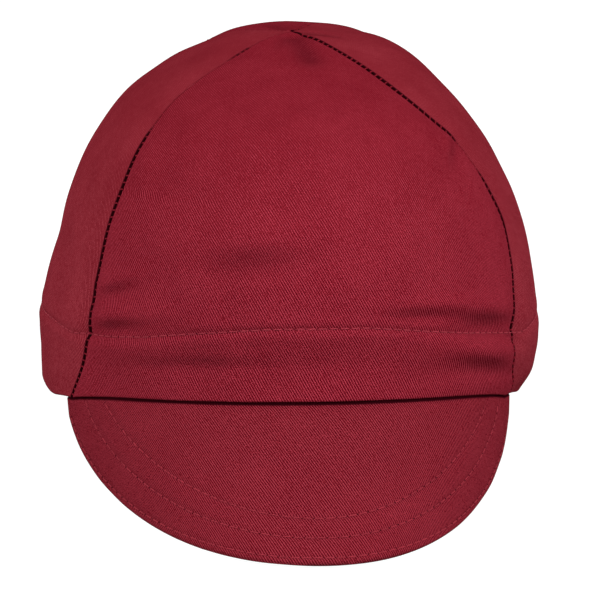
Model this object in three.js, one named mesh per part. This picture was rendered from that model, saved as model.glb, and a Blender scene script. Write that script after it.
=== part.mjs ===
// A soft four panel cap with a short turned-down peak, resting by itself on a flat surface.
// Lengths are in millimetres and angles in degrees. The front faces -Y, the wearer's left is +X, up is +Z,
// and the surface that the cap rests on is z = 0.
import * as THREE from "three";

// Driving dimensions of the crown. The head hollow's rim is a plane here, and the whole cap leans later.
// Each row is one section, from the rim to the apex: its height over the rim, its reach to each of the four
// sides, and the angles from the front at which the two front seams cross it.
const SECTIONS = [
  { up: 0.0, left: 79.1, right: 87.9, front: 94.6, back: 91.0, seamLeft: 65.8, seamRight: 63.2 },
  { up: 12.0, left: 85.6, right: 88.2, front: 94.4, back: 94.5, seamLeft: 58.0, seamRight: 57.5 },
  { up: 25.5, left: 85.5, right: 87.0, front: 96.0, back: 96.5, seamLeft: 58.2, seamRight: 56.4 },
  { up: 46.0, left: 82.0, right: 81.5, front: 94.0, back: 96.5, seamLeft: 62.8, seamRight: 57.6 },
  { up: 66.0, left: 76.0, right: 76.0, front: 88.5, back: 92.5, seamLeft: 63.7, seamRight: 57.7 },
  { up: 86.0, left: 65.5, right: 67.3, front: 78.5, back: 84.0, seamLeft: 59.3, seamRight: 55.9 },
  { up: 103.5, left: 51.5, right: 52.5, front: 61.0, back: 64.3, seamLeft: 48.7, seamRight: 55.7 },
  { up: 115.5, left: 36.5, right: 30.9, front: 36.7, back: 39.9, seamLeft: 40.7, seamRight: 55.5 },
  { up: 120.7, left: 17.8, right: 14.6, front: 14.6, back: 11.9, seamLeft: 37.0, seamRight: 52.6 },
  { up: 122.0, left: 0.0, right: 0.0, front: 0.0, back: 0.0, seamLeft: 40.9, seamRight: 52.2 },
];
const HEM = 2; // the row of SECTIONS at the hem's stitching
const APEX = SECTIONS.length - 1;
const BACK_SEAM = 125; // angle from the front of both back seams
const SQUARENESS = 2.1; // 2 would make each section an ellipse
const PUFF = 1.5; // how far a panel swells between its seams
const SEAM_CREASE = 1.0; // how far a seam is drawn in
const SEAM_CREASE_WIDTH = 5;
const NOD = 0.139; // slope by which the top falls towards the front
const NOD_ROWS = { from: APEX - 4, to: APEX - 1 }; // the rows over which that slope sets in
const SMOOTH_TOP_REACH = 30; // sections narrower than this lose their puffs, creases and dents
const FRONT_ARCH = 10.3; // how far the rim rises at the middle of the front, where the peak is sewn in
const FRONT_ARCH_REACH = 62;
const FRONT_ARCH_TOP = 75; // height at which the arch has faded out
// How far the rim rises, or sinks where it is below 0, beside the ends of the peak
const PEAK_END_LIFTS = [
  { angle: -62, lift: 2.9, spread: 33 },
  { angle: 60, lift: 1.5, spread: 32 },
  { angle: 84, lift: -4.7, spread: 14 },
  { angle: -76, lift: -2.3, spread: 9 },
];
// The main dents and folds of the cloth: where each lies, how deep it is and how far it spreads. A fold that
// stands out has a depth below 0.
const DENTS = [
  { angle: -43, up: 25, depth: 1.2, wide: 15, tall: 3.6 },
  { angle: -43, up: 32, depth: -0.9, wide: 15, tall: 4 },
  { angle: 46, up: 24, depth: 1.7, wide: 14, tall: 4.5 },
  { angle: 41, up: 33, depth: -1.2, wide: 14, tall: 5 },
  { angle: 44, up: 8.5, depth: 1.4, wide: 17, tall: 3.8 },
  { angle: 42, up: 16, depth: -0.9, wide: 17, tall: 3.8 },
  { angle: 50, up: 84, depth: 1.2, wide: 7, tall: 6 },
  { angle: 82, up: 6, depth: -1.3, wide: 22, tall: 4.5 },
];

// Driving dimensions of the peak. It is a ruled sheet from the rim to its edge.
const PEAK_LENGTH = 61;
const PEAK_END_LEFT = 68.2;
const PEAK_END_RIGHT = 66.4;
const PEAK_PITCH = 44; // how steeply its middle falls from the rim's plane
const PEAK_SIDE_PITCH = 14; // how much steeper its two ends fall
const PEAK_FAN = -9.8; // how far its ends turn outwards
const PEAK_SKEW = 0.02; // its left half is this share longer
const PEAK_OUTLINE = { power: 2, root: 0.61 }; // how its length runs out towards its ends
const PEAK_WIDTH_KEPT = 0.985; // the share of its width before its length runs out
const PEAK_TUCK = 5; // how far it reaches up inside the front panel
const PEAK_TUCK_END = 1; // where it turns out under the panel's lower edge

// Cloth
const CLOTH = 1.4;
const PEAK_CLOTH = 1.3;
const BAND_CLOTH = 1.2;
const GAP = 0.3; // between pieces that touch
const BAND_JOIN = 0.2; // half the gap where the sweatband's ends meet, as an angle
const LOOSE_GAP = 0.5; // between curved sheets that lie over each other
const BAND_LOW = 0.8; // the sweatband's lower edge over the rim
const BAND_HIGH = 22;
const PANEL_TOP = APEX - 0.08; // the panels end just below the apex
// Angles past the peak's ends over which a panel's bevelled edge and the deeper sweatband fade out
const BEVEL_FADES = { from: 1, to: 6 };
const BAND_DEPTH_FADES = { from: 4, to: 20 };

// Rest: the cap leans back on its rear rim and the tip of its peak
const LEAN = 8.98;
const PRESSED_BELOW = 3; // a rim lower than this lies flat on the surface
const PRESS_FADES = 12; // a rim higher than this keeps its height
const PRESS_REACH = 55; // how far up the wall the pressing shows
// From the middle of the rim to the middle of the whole cap
const MIDDLE = { x: 0.88, y: 18.87 };

// Mesh steps
const STEPS_UP = 22;
const ROWS_CROWD = 1.15; // above 1 puts the rows closer together near the rim
const STEPS_FRONT = 20;
const STEPS_SIDE = 12;
const STEPS_BAND = 76;
const STEPS_PEAK_ACROSS = 28;
const STEPS_PEAK_OUT = 7;

const RED = 0x89242f;

const { degToRad, clamp, smoothstep, lerp } = THREE.MathUtils;

// A smooth curve through the rows, mirrored past the apex so that the top is round
function sectionAt(t) {
  const row = (index, key) => {
    if (index < 0) return 2 * SECTIONS[0][key] - SECTIONS[1][key];
    if (index <= APEX) return SECTIONS[index][key];
    const beyond = SECTIONS[APEX - 1][key];
    return key === "up" || key.startsWith("seam") ? beyond : -beyond;
  };
  const start = clamp(Math.floor(t), 0, APEX - 1);
  const f = clamp(t, 0, APEX) - start;
  const section = {};
  for (const key of Object.keys(SECTIONS[0])) {
    const [a, b, c, d] = [-1, 0, 1, 2].map((step) => row(start + step, key));
    const bend = (2 * a - 5 * b + 4 * c - d) * f * f + (3 * b - a - 3 * c + d) * f * f * f;
    section[key] = 0.5 * (2 * b + (c - a) * f + bend);
  }
  return section;
}

function signedPower(value, power) {
  return Math.sign(value) * Math.abs(value) ** power;
}

function bell(distance) {
  return Math.exp(-distance * distance);
}

// How far across its panel an angle lies, from 0 at one seam to 1 at the next
function shareOfPanel(angle, seam) {
  const turned = Math.abs(angle);
  if (turned < seam) return (turned + seam) / (2 * seam);
  if (turned < BACK_SEAM) return (turned - seam) / (BACK_SEAM - seam);
  return 0.5 + (turned - 180) / (2 * (180 - BACK_SEAM));
}

// How far the cloth lies outside its plain section: puffed panels, drawn-in seams and dents
function swelling(angle, t, up, side, seam) {
  const turned = Math.abs(angle);
  const fromSeam = degToRad(Math.min(Math.abs(turned - seam), Math.abs(turned - BACK_SEAM))) * side;
  const puff = PUFF * Math.sin(Math.PI * shareOfPanel(angle, seam)) ** 2 * clamp((t - 1) / 2, 0, 1);
  const crease = SEAM_CREASE * bell(fromSeam / SEAM_CREASE_WIDTH) * clamp(t / 2, 0, 1);
  let dented = 0;
  for (const dent of DENTS) {
    dented += dent.depth * bell((angle - dent.angle) / dent.wide) * bell((up - dent.up) / dent.tall);
  }
  return (puff - crease - dented) * clamp(side / SMOOTH_TOP_REACH, 0, 1);
}

// How far the rim's arch and the ends of the peak lift the cloth
function lift(angle, t, up) {
  const arch = FRONT_ARCH * Math.max(0, 1 - (angle / FRONT_ARCH_REACH) ** 2);
  let ends = 0;
  for (const end of PEAK_END_LIFTS) {
    ends += end.lift * bell((angle - end.angle) / end.spread);
  }
  const fade = clamp((FRONT_ARCH_TOP - up) / (FRONT_ARCH_TOP - SECTIONS[HEM].up), 0, 1);
  return arch * fade + ends * clamp(1 - t / HEM, 0, 1);
}

// A point of the crown's outer face. angle runs from the front towards the wearer's left, from -180 to 180,
// and t counts the rows of SECTIONS.
function crownPoint(angle, t) {
  const section = sectionAt(t);
  const isLeft = angle > 0;
  const side = isLeft ? section.left : section.right;
  const seam = isLeft ? section.seamLeft : section.seamRight;
  const across = signedPower(Math.sin(degToRad(angle)), 2 / SQUARENESS);
  const along = -signedPower(Math.cos(degToRad(angle)), 2 / SQUARENESS);
  const reach = along < 0 ? section.front : section.back;
  const out = swelling(angle, t, section.up, side, seam);
  const y = (reach + out) * along;
  const nod = NOD * y * smoothstep(t, NOD_ROWS.from, NOD_ROWS.to);
  return new THREE.Vector3((side + out) * across, y, section.up + lift(angle, t, section.up) + nod);
}

function wrapped(angle) {
  return THREE.MathUtils.euclideanModulo(angle + 180, 360) - 180;
}

// The direction out of the cloth. Near the rim it is level, so that the rim is cut square.
function crownNormal(angle, t) {
  const step = 0.05;
  const round = crownPoint(wrapped(angle + 1), t).sub(crownPoint(wrapped(angle - 1), t));
  const rise = crownPoint(angle, Math.min(t + step, APEX)).sub(crownPoint(angle, Math.max(t - step, 0)));
  const normal = round.cross(rise);
  normal.z *= smoothstep(t, 0.5, HEM);
  return normal.normalize();
}

function insideCrown(angle, t, depth) {
  return crownPoint(angle, t).addScaledVector(crownNormal(angle, t), -depth);
}

// Leans the cap back, presses the rear of its rim flat and puts the origin under its middle
function atRest(point) {
  const lean = degToRad(LEAN);
  const behind = SECTIONS[0].back - point.y;
  const rimHeight = behind * Math.sin(lean);
  const kept = rimHeight * smoothstep(rimHeight, PRESSED_BELOW, PRESS_FADES);
  const fade = clamp(1 - point.z / PRESS_REACH, 0, 1) ** 2;
  const pressed = point.y > 0 ? (rimHeight - kept) * fade : 0;
  const height = point.z * Math.cos(lean) + rimHeight - pressed;
  const y = point.y * Math.cos(lean) + point.z * Math.sin(lean) + MIDDLE.y;
  return new THREE.Vector3(point.x + MIDDLE.x, y, height);
}

// A closed sheet between two grids of points of the same size, the outer one seen from outside with its
// columns running to the right
function sheet(outer, inner) {
  const rows = outer.length;
  const columns = outer[0].length;
  const positions = [...outer.flat(), ...inner.flat()].map(atRest).flatMap((p) => [p.x, p.y, p.z]);
  const index = (side, row, column) => side * rows * columns + row * columns + column;
  const faces = [];
  const quad = (a, b, c, d) => faces.push(a, b, c, a, c, d);
  for (let r = 0; r < rows - 1; r++) {
    for (let c = 0; c < columns - 1; c++) {
      quad(index(0, r, c), index(0, r, c + 1), index(0, r + 1, c + 1), index(0, r + 1, c));
      quad(index(1, r, c), index(1, r + 1, c), index(1, r + 1, c + 1), index(1, r, c + 1));
    }
  }
  for (let c = 0; c < columns - 1; c++) {
    quad(index(0, 0, c + 1), index(0, 0, c), index(1, 0, c), index(1, 0, c + 1));
    quad(index(0, rows - 1, c), index(0, rows - 1, c + 1), index(1, rows - 1, c + 1), index(1, rows - 1, c));
  }
  for (let r = 0; r < rows - 1; r++) {
    const last = columns - 1;
    quad(index(0, r, 0), index(0, r + 1, 0), index(1, r + 1, 0), index(1, r, 0));
    quad(index(0, r + 1, last), index(0, r, last), index(1, r, last), index(1, r + 1, last));
  }
  const geometry = new THREE.BufferGeometry();
  geometry.setAttribute("position", new THREE.Float32BufferAttribute(positions, 3));
  geometry.setIndex(faces);
  geometry.computeVertexNormals();
  return geometry;
}

function grid(rows, columns, point) {
  const line = (count) => Array.from({ length: count + 1 }, (_, index) => index / count);
  return line(rows).map((v) => line(columns).map((u) => point(u, v)));
}

function peakEnd(angle) {
  return angle > 0 ? PEAK_END_LEFT : PEAK_END_RIGHT;
}

// How steeply the peak falls at s, from -1 to 1 across it
function peakPitch(s) {
  return degToRad(PEAK_PITCH + PEAK_SIDE_PITCH * s * s);
}

// How far a panel's lower edge rises towards the inside, so that it lies along the peak's slope
function edgeRise(angle, depth) {
  const end = peakEnd(angle);
  const overPeak = 1 - smoothstep(Math.abs(angle), end + BEVEL_FADES.from, end + BEVEL_FADES.to);
  return overPeak * depth * Math.tan(peakPitch(Math.min(Math.abs(angle) / end, 1)));
}

// A panel between two seams, each given as an angle for each section
function panelGeometry(fromSeam, toSeam, steps) {
  const angleAt = (u, t) => {
    const section = sectionAt(t);
    const halfGap = THREE.MathUtils.radToDeg(GAP / 2 / Math.min(section.left, section.front));
    return wrapped(lerp(fromSeam(section) + halfGap, toSeam(section) - halfGap, u));
  };
  const face = (depth) => grid(STEPS_UP, steps, (u, v) => {
    const atRim = edgeRise(angleAt(u, 0), depth) / SECTIONS[1].up;
    const t = v === 0 ? atRim : PANEL_TOP * v ** ROWS_CROWD;
    return insideCrown(angleAt(u, t), t, depth);
  });
  return sheet(face(0), face(CLOTH));
}

// How deep the sweatband's outer face lies: behind the panels, and at the front behind the peak's root too
function bandDepth(angle) {
  const behindPanel = CLOTH + LOOSE_GAP;
  const behindPeak = behindPanel + 2 * (PEAK_CLOTH + LOOSE_GAP) + GAP;
  const end = peakEnd(angle);
  const pastPeak = smoothstep(Math.abs(angle), end + BAND_DEPTH_FADES.from, end + BAND_DEPTH_FADES.to);
  return lerp(behindPeak, behindPanel, pastPeak);
}

function sweatbandGeometry() {
  const top = HEM * BAND_HIGH / SECTIONS[HEM].up;
  const face = (extra) => grid(4, STEPS_BAND, (u, v) => {
    const angle = wrapped(lerp(-180 + BAND_JOIN, 180 - BAND_JOIN, u));
    const point = insideCrown(angle, top * v, bandDepth(angle) + extra);
    if (v === 0) point.z += BAND_LOW;
    return point;
  });
  return sheet(face(0), face(BAND_CLOTH));
}

// The peak's upper face at s, from -1 to 1 across it. Its lines run up inside the front panel, under the
// panel's lower edge and straight out to the peak's own edge.
function peakLine(s) {
  const angle = s * peakEnd(s);
  const rim = crownPoint(angle, 0);
  const pitch = peakPitch(s);
  const fan = degToRad(PEAK_FAN * s);
  const fall = new THREE.Vector3(
    Math.sin(fan) * Math.cos(pitch), -Math.cos(fan) * Math.cos(pitch), -Math.sin(pitch));
  const outline = (1 - Math.abs(s) ** PEAK_OUTLINE.power) ** PEAK_OUTLINE.root;
  const length = PEAK_LENGTH * outline * (1 + PEAK_SKEW * s);
  const tucked = (up) => insideCrown(angle, up / SECTIONS[1].up, CLOTH + LOOSE_GAP);
  const line = [tucked(PEAK_TUCK), tucked(PEAK_TUCK_END)];
  rim.z -= LOOSE_GAP;
  for (let step = 0; step <= STEPS_PEAK_OUT; step++) {
    line.push(rim.clone().addScaledVector(fall, length * step / STEPS_PEAK_OUT));
  }
  return line;
}

// One of the peak's two covers, which lie face to face: depth is measured down from the peak's upper face
function peakCoverGeometry(depth) {
  const across = Array.from({ length: STEPS_PEAK_ACROSS + 1 }, (_, index) => {
    return PEAK_WIDTH_KEPT * (2 * index / STEPS_PEAK_ACROSS - 1);
  });
  const lines = across.map(peakLine);
  const last = lines[0].length - 1;
  const faceAt = (offset) => lines[0].map((_, row) => lines.map((line, column) => {
    const next = lines[Math.min(column + 1, lines.length - 1)];
    const before = lines[Math.max(column - 1, 0)];
    const sideways = next[row].clone().sub(before[row]);
    const outwards = line[Math.min(row + 1, last)].clone().sub(line[Math.max(row - 1, 0)]);
    const down = sideways.cross(outwards).normalize();
    return line[row].clone().addScaledVector(down, offset);
  }));
  return sheet(faceAt(depth).reverse(), faceAt(depth + PEAK_CLOTH).reverse());
}

function cloth(name, geometry, color) {
  const material = new THREE.MeshStandardMaterial({ color, roughness: 0.85, metalness: 0 });
  const mesh = new THREE.Mesh(geometry, material);
  mesh.name = name;
  return mesh;
}

const seamLeft = (section) => section.seamLeft;
const seamRight = (section) => -section.seamRight;
const backLeft = () => BACK_SEAM;
const backRight = () => -BACK_SEAM;
const backRightOnward = () => 360 - BACK_SEAM;

const cap = new THREE.Group();
cap.add(
  cloth("front_panel", panelGeometry(seamRight, seamLeft, STEPS_FRONT), RED),
  cloth("left_panel", panelGeometry(seamLeft, backLeft, STEPS_SIDE), RED),
  cloth("right_panel", panelGeometry(backRight, seamRight, STEPS_SIDE), RED),
  cloth("back_panel", panelGeometry(backLeft, backRightOnward, STEPS_FRONT), RED),
  cloth("sweatband", sweatbandGeometry(), RED),
  cloth("peak_top", peakCoverGeometry(0), RED),
  cloth("peak_under", peakCoverGeometry(PEAK_CLOTH + LOOSE_GAP), RED),
);

export default cap;
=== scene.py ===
import math
from collections import namedtuple

import bpy
import numpy as np
from mathutils import Matrix, Vector


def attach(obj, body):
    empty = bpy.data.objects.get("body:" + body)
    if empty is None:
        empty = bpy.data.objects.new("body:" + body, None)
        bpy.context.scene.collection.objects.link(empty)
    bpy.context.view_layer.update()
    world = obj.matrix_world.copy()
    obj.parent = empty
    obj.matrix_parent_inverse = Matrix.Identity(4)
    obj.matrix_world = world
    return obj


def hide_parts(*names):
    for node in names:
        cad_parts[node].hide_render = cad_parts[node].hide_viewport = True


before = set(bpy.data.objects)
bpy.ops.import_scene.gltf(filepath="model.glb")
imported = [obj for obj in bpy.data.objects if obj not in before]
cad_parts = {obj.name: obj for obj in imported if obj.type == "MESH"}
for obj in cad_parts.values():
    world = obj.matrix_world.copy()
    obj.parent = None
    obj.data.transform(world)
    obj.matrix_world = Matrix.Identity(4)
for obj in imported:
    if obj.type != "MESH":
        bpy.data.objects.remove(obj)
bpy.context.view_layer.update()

# A soft four panel cap in dark red cotton twill. Shapes are worked out in millimetres and degrees, as in the
# solid model, and become metres when a mesh is made. The peak points to -Y and the wearer's left is +X.
MM = 0.001

# The crown. Each row is one section, from the rim to the apex: its height over the rim, its reach to each of
# the four sides, and the angles from the front at which the two front seams cross it.
SECTIONS = np.array([
    (0.0, 79.1, 87.9, 94.6, 91.0, 65.8, 62.2),
    (12.0, 85.6, 88.2, 94.4, 94.5, 58.0, 57.5),
    (25.5, 85.5, 87.0, 96.0, 96.5, 58.2, 56.4),
    (46.0, 82.0, 81.5, 94.0, 96.5, 62.8, 57.6),
    (66.0, 76.0, 76.0, 88.5, 92.5, 63.7, 57.7),
    (86.0, 65.5, 67.3, 78.5, 84.0, 59.3, 55.9),
    (103.5, 51.5, 52.5, 61.0, 64.3, 48.7, 55.7),
    (115.5, 36.5, 30.9, 36.7, 39.9, 40.7, 55.5),
    (120.7, 17.8, 14.6, 14.6, 11.9, 37.0, 52.6),
    (122.0, 0.0, 0.0, 0.0, 0.0, 40.9, 52.2),
])
UP, LEFT, RIGHT, FRONT, BACK, SEAM_LEFT, SEAM_RIGHT = range(7)
HEM = 2  # the row at the hem's stitching
APEX = len(SECTIONS) - 1
BACK_SEAM = 125.0  # angle from the front of both back seams
BACK_SEAM_TURN = 38.0  # how far the seam at the back left turns rearwards near the apex
BACK_SEAM_TURN_ROWS = (APEX - 2.8, APEX - 1.2)
SQUARENESS = 2.1  # 2 would make each section an ellipse
PUFF = 1.5  # how far a panel swells between its seams
PUFF_ROWS = (1, 3)  # the rows over which that sets in
SEAM_CREASE = 1.0  # how far a seam is drawn in
SEAM_CREASE_WIDTH = 5.0
SEAM_CREASE_ROWS = (0, 2)
NOD = 0.139  # slope by which the top falls towards the front
NOD_ROWS = (APEX - 4, APEX - 1)
SMOOTH_TOP_REACH = 30.0  # sections narrower than this lose their puffs, folds and dents
FRONT_ARCH = 10.3  # how far the rim rises at the middle of the front, where the peak is sewn in
FRONT_ARCH_REACH = 62.0
FRONT_ARCH_TOP = 75.0  # height at which the arch has faded out
NORMAL_STEPS = (1.0, 0.05)  # how far apart the cloth's slope is measured, as an angle and in rows
SQUARE_RIM_ROW = 0.5  # up to this row the crown's wall is cut square to it
# How far the rim rises, or sinks where it is below 0, beside the ends of the peak
End = namedtuple("End", "angle lift spread")
PEAK_END_LIFTS = [End(-62, 2.9, 33), End(60, 1.5, 32), End(84, -4.7, 14), End(-76, -2.3, 9)]
# The main dents of the cloth. A fold that stands out has a depth below 0.
Dent = namedtuple("Dent", "angle up depth wide tall")
DENTS = [
    Dent(-43, 25.0, 1.2, 15, 3.6),
    Dent(-43, 32.0, -0.9, 15, 4.0),
    Dent(46, 24.0, 1.7, 14, 4.5),
    Dent(41, 33.0, -1.2, 14, 5.0),
    Dent(44, 8.5, 1.4, 17, 3.8),
    Dent(42, 16.0, -0.9, 17, 3.8),
    Dent(50, 84, 1.2, 7, 6),
    Dent(82, 6, -1.3, 22, 4.5),
]

# Smaller folds: length and width are measured along and over the fold, and the tilt turns it out of level
Fold = namedtuple("Fold", "angle up tilt length width depth")
FOLDS = [
    Fold(-49, 39.5, 12, 9, 2.4, 0.9),
    Fold(-48, 25.8, 0, 10, 2.8, 0.7),
    Fold(-24, 12.0, 0, 24, 2.5, 0.45),
    Fold(27, 29.5, 2, 16, 2.8, 0.8),
    Fold(46, 25.6, -3, 19, 3.8, 0.8),
    Fold(45, 10.0, -9, 18, 3.2, 0.65),
    Fold(57, 20.2, -12, 6, 1.2, 0.7),
    Fold(-13, 52.0, 8, 17, 6.0, 0.9),
    Fold(53, 85.0, 30, 6, 2.2, 0.7),
]
# Creases that run down from the apex, between a near and a far level distance from it
Crease = namedtuple("Crease", "angle near far width depth")
APEX_CREASES = [
    Crease(9, 7, 33, 4.0, 0.85),
    Crease(-20, 10, 20, 2.5, 0.3),
    Crease(75, 6, 18, 2.5, 0.7),
    Crease(-165, 4, 22, 3.0, 0.6),
]
CREASE_SETS_IN = 0.5  # a crease sets in from this share of its near distance
CREASE_FADES = (8.0, 4.0)  # how far before and beyond its far distance it fades out
CREASE_SHADE = 0.42  # how dark the painted shade in it is
RIDGE_BESIDE_FOLD = 0.8  # a fold's share that stands up beside it
RIDGE_AWAY = 2.0  # how many of the fold's widths that ridge lies over it
FOLD_SHADE = 0.32  # how dark the painted shade on the face over a fold is
FOLD_SHADE_RISE = 2.2  # how far over the fold that face lies
WAVES = 16  # how many slight waves run through the cloth
WAVE_DEPTH = 0.16
WAVE_LENGTHS = (14.0, 45.0)
PEAK_WAVES = 0.6  # the depth of the peak's waves as a share of the crown's

# The peak: a ruled sheet from the rim to its edge
PEAK_LENGTH = 61.3
# Angles from the front at which it ends
PEAK_END_LEFT = 68.2
PEAK_END_RIGHT = 66.4
PEAK_PITCH = 44.0  # how steeply its middle falls from the rim's plane
PEAK_SIDE_PITCH = 14.0  # how much steeper its two ends fall
PEAK_FAN = -9.8  # how far its ends turn outwards
PEAK_SKEW = 0.016  # its left half is this share longer
PEAK_POWER = 2.0  # how its length runs out towards its ends
PEAK_ROOT = 0.61
PEAK_WIDTH_KEPT = 0.985  # the share of its width before its length runs out
PEAK_TUCK = (5.0, 1.0)  # heights over the rim of the rows inside the crown, where its root is sewn in
PEAK_END_START = -0.3  # where its two short ends start, inside the crown, as a share of the length
PEAK_STEPS = (0.004, 0.01)  # how far apart its slope is measured, as shares of its width and length
# Each stitch row's distance from the edge, and how much further in it lies at the peak's two ends
Row = namedtuple("Row", "inset ends")
PEAK_ROWS = [Row(2.1, 0.0), Row(9.7, 6.0), Row(17.1, 12.0)]
ROW_DRAW = 0.35  # how deep a row draws the cloth in
ROW_DRAW_WIDTH = 0.9
ROW_SHADE = 0.13  # how dark the painted shade in the groove along a row of the peak's stitches is
ROW_SHADE_WIDTH = 0.6
ROOT_DIP = 0.5  # how deep the peak dips where it goes under the crown
ROOT_DIP_REACH = 1.6

# Cloth: thicknesses, and the gaps between pieces
CLOTH = 1.4
THINNEST_EDGE = 0.1  # of a panel's wall where its edge is rolled in
PEAK_CLOTH = 1.5
PEAK_THICKNESS = 3.1
PEAK_EDGE_GAP = 0.06  # between its two cloths at the edge
BAND_CLOTH = 1.2
LOOSE_GAP = 0.5  # between curved sheets that lie over each other
ROOT_GAP = 0.35  # between the crown's lower edge and the peak
BAND_LOW = 0.8  # the sweatband's edges over the rim
BAND_HIGH = 22.0
BAND_JOIN = 0.2  # half the gap where the sweatband's ends meet, as an angle
BAND_OVER_PEAK = 0.3  # how much more room it leaves for the peak's root
BAND_DEPTH_FADES = (4.0, 20.0)  # angles past the peak's end over which it comes back to the panels

# Seams and stitches. The hem's stitching runs round the crown at these heights over the rim.
Hem = namedtuple("Hem", "angle up")
HEM_LINE = [
    Hem(-125, 26.0),
    Hem(-75, 26.7),
    Hem(-60, 25.3),
    Hem(-48, 23.4),
    Hem(-38, 23.0),
    Hem(-26, 24.0),
    Hem(-8, 25.3),
    Hem(12, 25.3),
    Hem(25, 23.9),
    Hem(39, 22.8),
    Hem(58, 23.0),
    Hem(75, 24.6),
    Hem(125, 26.0),
]
HEM_DRAW = 0.35  # how deep the hem's stitching draws the cloth in
HEM_DRAW_WIDTH = 0.9
HEM_SWELL_AWAY = 3.0  # how far above and below it the cloth stands up
HEM_SWELL_WIDTH = 2.0
HEM_SWELLS = (0.2, 0.32)  # and how much, above and below
HEM_SHADE = 0.12  # how dark the painted shade in its groove is
STITCH_PITCH = 3.7  # of the stitch rows on the hem and the peak
STITCH_GAP = 0.7
STITCH_RISE = 0.26  # height of a stitch's middle over its sunk ends
STITCH_SUNK = 0.12
THREAD = 0.2  # radius
THREAD_TAPER = 0.55  # its ends' share of that
HEM_HOLE = 0.26  # radius of a needle hole
PEAK_HOLE = 0.4
HOLE_HEIGHTS = (0.05, -0.15)  # its highest and lowest point over the cloth
HOLE_ASLANT = np.array([0.3, 0.2, 1.0])  # a direction that no hole faces
SEAM_PITCH = 2.5  # from one bar of thread across a seam to the next
SEAM_THREAD = 0.28
BAR_ROWS = (0.03, APEX - 0.312)  # the rows between which bars show
BAR_LAP = 0.3  # how far a bar goes into the cloth on each side of the gap
BAR_DEPTH = 0.17
BAR_DIVE = 0.4  # how much deeper its ends lie
BAR_SLANT = 0.15
ROLL_SHUT = 0.32  # radius of a panel's edge at a closed seam
ROLL_PER_GAP = 0.5  # a wider gap has a rounder edge
MOST_ROLL = 0.45  # the largest radius and half gap near the apex, as shares of a panel's width
MOST_GAP = 0.1
INNER_LAP = 0.06  # how far a panel's inner face reaches over the seam's line, so that no light comes through
SHADE_REACH = (0.15, 0.7)  # how far from a seam's edge the painted shade is deep, and where it ends
SHADED_GAP = 0.4  # half the gap of a seam with full painted shade
RIM_SHADE_REACH = 0.75  # how far from the line between crown and peak the painted shadow ends
RIM_SHADE_ENDS = (-6, 0)  # angles past the peak's end over which it fades
HEM_ROLL = 0.95  # radius of the crown's lower edge
# Half the gap of each seam, by height over the rim. Where a row leaves the back seams out, they are shut.
BACK_GAPE = 0.12
Gape = namedtuple("Gape", "up left right back_left back_right", defaults=(BACK_GAPE, BACK_GAPE))
GAPES = [
    Gape(0, 0.25, 0.45),
    Gape(21, 0.25, 0.5),
    Gape(24, 0.6, 0.5),
    Gape(60, 0.65, 0.5),
    Gape(74, 0.6, 0.5),
    Gape(80, 0.08, 0.5),
    Gape(88, 0.08, 0.45),
    Gape(92, 0.6, 0.4),
    Gape(96, 0.6, 0.11),
    Gape(112, 0.6, 0.1),
    Gape(116, 0.5, 0.1, 0.35),
    Gape(118, 0.5, 0.28, 0.35),
    Gape(119.4, 0.4, 0.28, 0.35),
    Gape(119.8, 0.4, 0.1, 0.35),
    Gape(121, 0.4, 0.1, 0.35),
]

# How many points the lines and grids have, the grids as rows and columns
FINE_ROWS = 600
SEAM_POINTS = 900
HEM_POINTS = 1600
STITCH_POINTS = 9
BAR_POINTS = 7
OUTLINE_POINTS = 241
OUTLINE_END_POINTS = 8
BAND_GRID = (13, 241)
PEAK_GRID = (96, 151)
PEAK_LINE_GRID = (90, 181)

# The flat piece that each cloth is cut as: its width, its length and its area, in metres
Cut = namedtuple("Cut", "node slot width length area held rests_on")
CUTS = [
    Cut("front_panel", "crown_cloth", 0.195, 0.178, 0.0205, "stretched", "sweatband_cloth"),
    Cut("left_panel", "crown_cloth", 0.114, 0.176, 0.0144, "stretched", "sweatband_cloth"),
    Cut("right_panel", "crown_cloth", 0.116, 0.170, 0.0144, "stretched", "sweatband_cloth"),
    Cut("back_panel", "crown_cloth", 0.172, 0.187, 0.0220, "stretched", "sweatband_cloth"),
    Cut("sweatband", "band_cloth", 0.560, 0.025, 0.0124, "laid", "front_cloth"),
    Cut("peak_top", "peak_cloth", 0.272, 0.068, 0.0103, "stretched", "peak_under_cloth"),
    Cut("peak_under", "peak_cloth", 0.269, 0.068, 0.0103, "stretched", "sweatband_cloth"),
]

# How the cap rests
LEAN = 8.98  # how far the cap tips back
PRESSED_BELOW = 3.0  # rear parts of the rim lower than this are pressed flat
PRESS_FADES = 12.0
PRESS_REACH = 55.0  # height over the rim at which the pressing has faded out
MIDDLE = (0.88, 18.87)  # what puts the origin under the middle of the cap

# Camera, at the photograph's angle
CAMERA_AIM = (0.88, 23.0, 40.77)
CAMERA_AZIMUTH = -4.3
CAMERA_ELEVATION = 19.8
CAMERA_ROLL = 0.68
CAMERA_DISTANCE = 1400.0
CAMERA_ASIDE = 3.1
CAMERA_LENS = 238.6
CAMERA_SENSOR = 36
CAMERA_SEES = 100  # metres

# Light and floor: metres, degrees and watts
LIGHT_SIZE = 1.2
LIGHT_DISTANCE = 2.0
LIGHT_AIM = (0, 0, 0.05)
Light = namedtuple("Light", "name azimuth elevation power")
LIGHTS = [
    Light("key", -45, 27, 22.7),
    Light("fill", 45, 20, 7.2),
    Light("right_side", 55, 36, 26.0),
    Light("left_rear", -110, 25, 9.5),
    Light("rear", 180, 12, 8.0),
]
WORLD_LIGHT = (0.14, 0.3)  # below and above the horizon
HORIZON = (-0.1, 0.1)  # between these heights it changes from one to the other
FLOOR_HALF = 6.0
FLOOR_GLOW = 0.98

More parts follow.
